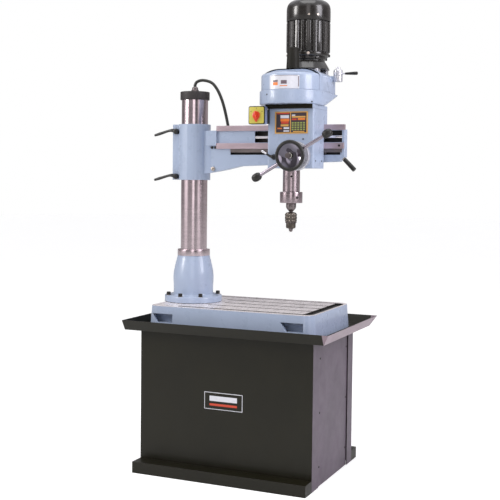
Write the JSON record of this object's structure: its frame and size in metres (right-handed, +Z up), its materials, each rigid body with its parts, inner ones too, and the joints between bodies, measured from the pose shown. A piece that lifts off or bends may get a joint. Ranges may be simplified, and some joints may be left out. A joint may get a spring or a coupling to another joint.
{
  "type": "radial arm drill press",
  "caption": "Small radial-arm drilling machine on a sheet-metal stand: a swinging arm carries a belt-driven drill head over a T-slot table.",
  "frame": {"origin": "middle of the whole machine's bounding box, on the floor under the plinths", "axes": "+X to the machine's right, along the arm from the column; +Y to the back; +Z up"},
  "size_m": [0.9334, 0.655, 1.993],
  "materials": {
    "stand_coat": "fine satin powder coat",
    "enamel": "smooth gloss enamel",
    "black_steel": "satin black oxide",
    "motor_enamel": "gloss black enamel",
    "ground_steel": "ground and polished",
    "dial_metal": "turned, satin",
    "pulley_metal": "turned",
    "chrome": "polished",
    "black_plastic": "moulded, slight sheen",
    "hose_rubber": "matt",
    "chart_metal": "printed, satin",
    "switch_yellow": "moulded",
    "switch_red": "moulded"
  },
  "bodies": {
    "stand": {"front_pedestal": "stand_coat", "rear_pedestal": "stand_coat", "left_side_panel": "stand_coat", "right_side_panel": "stand_coat", "front_plinth": "stand_coat", "rear_plinth": "stand_coat", "chip_tray": "stand_coat", "base_casting": "enamel", "column_foot": "enamel", "foot_bolt_1": "black_steel", "foot_bolt_2": "black_steel", "foot_bolt_3": "black_steel", "foot_bolt_4": "black_steel", "foot_bolt_5": "black_steel", "foot_bolt_6": "black_steel"},
    "column": {"column_tube": "ground_steel", "column_collar": "ground_steel", "column_cap": "black_plastic", "conduit_gland": "black_plastic", "conduit_hose": "hose_rubber"},
    "arm": {"radial_arm": "enamel", "clamp_bar": "chrome", "arm_handle": "black_plastic", "junction_box": "black_plastic", "traverse_rack": "ground_steel"},
    "upper_clamp": {"upper_clamp_lever": "black_steel"},
    "lower_clamp": {"lower_clamp_lever": "black_steel"},
    "head": {"head_casting": "enamel", "speed_chart_plate": "chart_metal", "switch_bracket": "black_steel", "switch_box": "switch_yellow", "guard_base_plate": "black_steel", "lower_guard": "enamel", "front_guard_cover": "enamel", "drive_housing": "enamel", "drive_belt": "hose_rubber", "spindle_cap": "black_plastic", "motor_mount": "black_steel", "motor_body": "motor_enamel", "motor_cowl": "motor_enamel"},
    "head_lock": {"head_lock_lever": "chrome"},
    "switch": {"switch_knob": "switch_red"},
    "tension": {"tension_lever": "black_steel"},
    "motor_rotor": {"motor_pulley": "pulley_metal"},
    "spindle_drive": {"spindle_pulley": "pulley_metal"},
    "quill": {"quill": "ground_steel", "quill_collar": "ground_steel"},
    "spindle": {"spindle": "ground_steel", "chuck_body": "ground_steel", "drill_bit": "ground_steel"},
    "feed": {"feed_shaft": "ground_steel", "feed_hub": "dial_metal", "feed_lever_1": "chrome", "feed_lever_2": "chrome", "feed_knob_1": "black_plastic", "feed_knob_2": "black_plastic"},
    "traverse": {"traverse_shaft": "ground_steel", "handwheel": "black_plastic"}
  },
  "joints": [
    {"name": "arm_swing", "type": "hinge", "parent": "stand", "child": "column", "pos_m": [-0.285, -0.0065, 0.9], "axis": [0, 0, 1], "range_deg": [-180, 180]},
    {"name": "arm_lift", "type": "slide", "parent": "column", "child": "arm", "axis": [0, 0, 1], "range_m": [-0.19, 0.095], "deforming": ["conduit_hose"]},
    {"name": "upper_clamp_turn", "type": "hinge", "parent": "arm", "child": "upper_clamp", "pos_m": [-0.353, -0.0365, 1.441], "axis": [0, 1, 0], "range_deg": [-35, 35]},
    {"name": "lower_clamp_turn", "type": "hinge", "parent": "arm", "child": "lower_clamp", "pos_m": [-0.353, -0.0365, 1.245], "axis": [0, 1, 0], "range_deg": [-35, 35]},
    {"name": "handwheel_turn", "type": "hinge", "parent": "head", "child": "traverse", "pos_m": [0.267, -0.2685, 1.33], "axis": [0, 1, 0], "range_deg": [-229.3, 573.1]},
    {"name": "head_traverse", "type": "slide", "parent": "arm", "child": "head", "axis": [1, 0, 0], "range_m": [-0.15, 0.06]},
    {"name": "feed_turn", "type": "hinge", "parent": "head", "child": "feed", "pos_m": [0.267, -0.25, 1.33], "axis": [0, 1, 0], "range_deg": [-420.2, 0]},
    {"name": "quill_feed", "type": "slide", "parent": "head", "child": "quill", "axis": [0, 0, -1], "range_m": [0, 0.11], "stiffness_N_per_m": 1500, "springref_m": -0.12},
    {"name": "spindle_spin", "type": "hinge", "parent": "quill", "child": "spindle", "pos_m": [0.2197, -0.1265, 1.07], "axis": [0, 0, 1], "continuous": true},
    {"name": "spindle_pulley_spin", "type": "hinge", "parent": "head", "child": "spindle_drive", "pos_m": [0.2197, -0.1265, 1.631], "axis": [0, 0, 1], "continuous": true},
    {"name": "motor_spin", "type": "hinge", "parent": "head", "child": "motor_rotor", "pos_m": [0.2197, 0.0475, 1.631], "axis": [0, 0, 1], "continuous": true},
    {"name": "head_lock_turn", "type": "hinge", "parent": "head", "child": "head_lock", "pos_m": [0.172, -0.2, 1.326], "axis": [0, 1, 0], "range_deg": [-25, 25]},
    {"name": "switch_turn", "type": "hinge", "parent": "head", "child": "switch", "pos_m": [0.1069, -0.2308, 1.493], "axis": [0, 1, 0], "range_deg": [0, 90]},
    {"name": "tension_turn", "type": "hinge", "parent": "head", "child": "tension", "pos_m": [0.357, 0.0385, 1.67], "axis": [0, 0, 1], "range_deg": [-45, 50]}
  ],
  "couplings": [
    {"joint": "handwheel_turn", "follows": "head_traverse", "rad_per_m": -66.667},
    {"joint": "quill_feed", "follows": "feed_turn", "m_per_rad": -0.015},
    {"joint": "spindle_pulley_spin", "follows": "spindle_spin", "ratio": 1},
    {"joint": "motor_spin", "follows": "spindle_spin", "ratio": 1.6667}
  ]
}
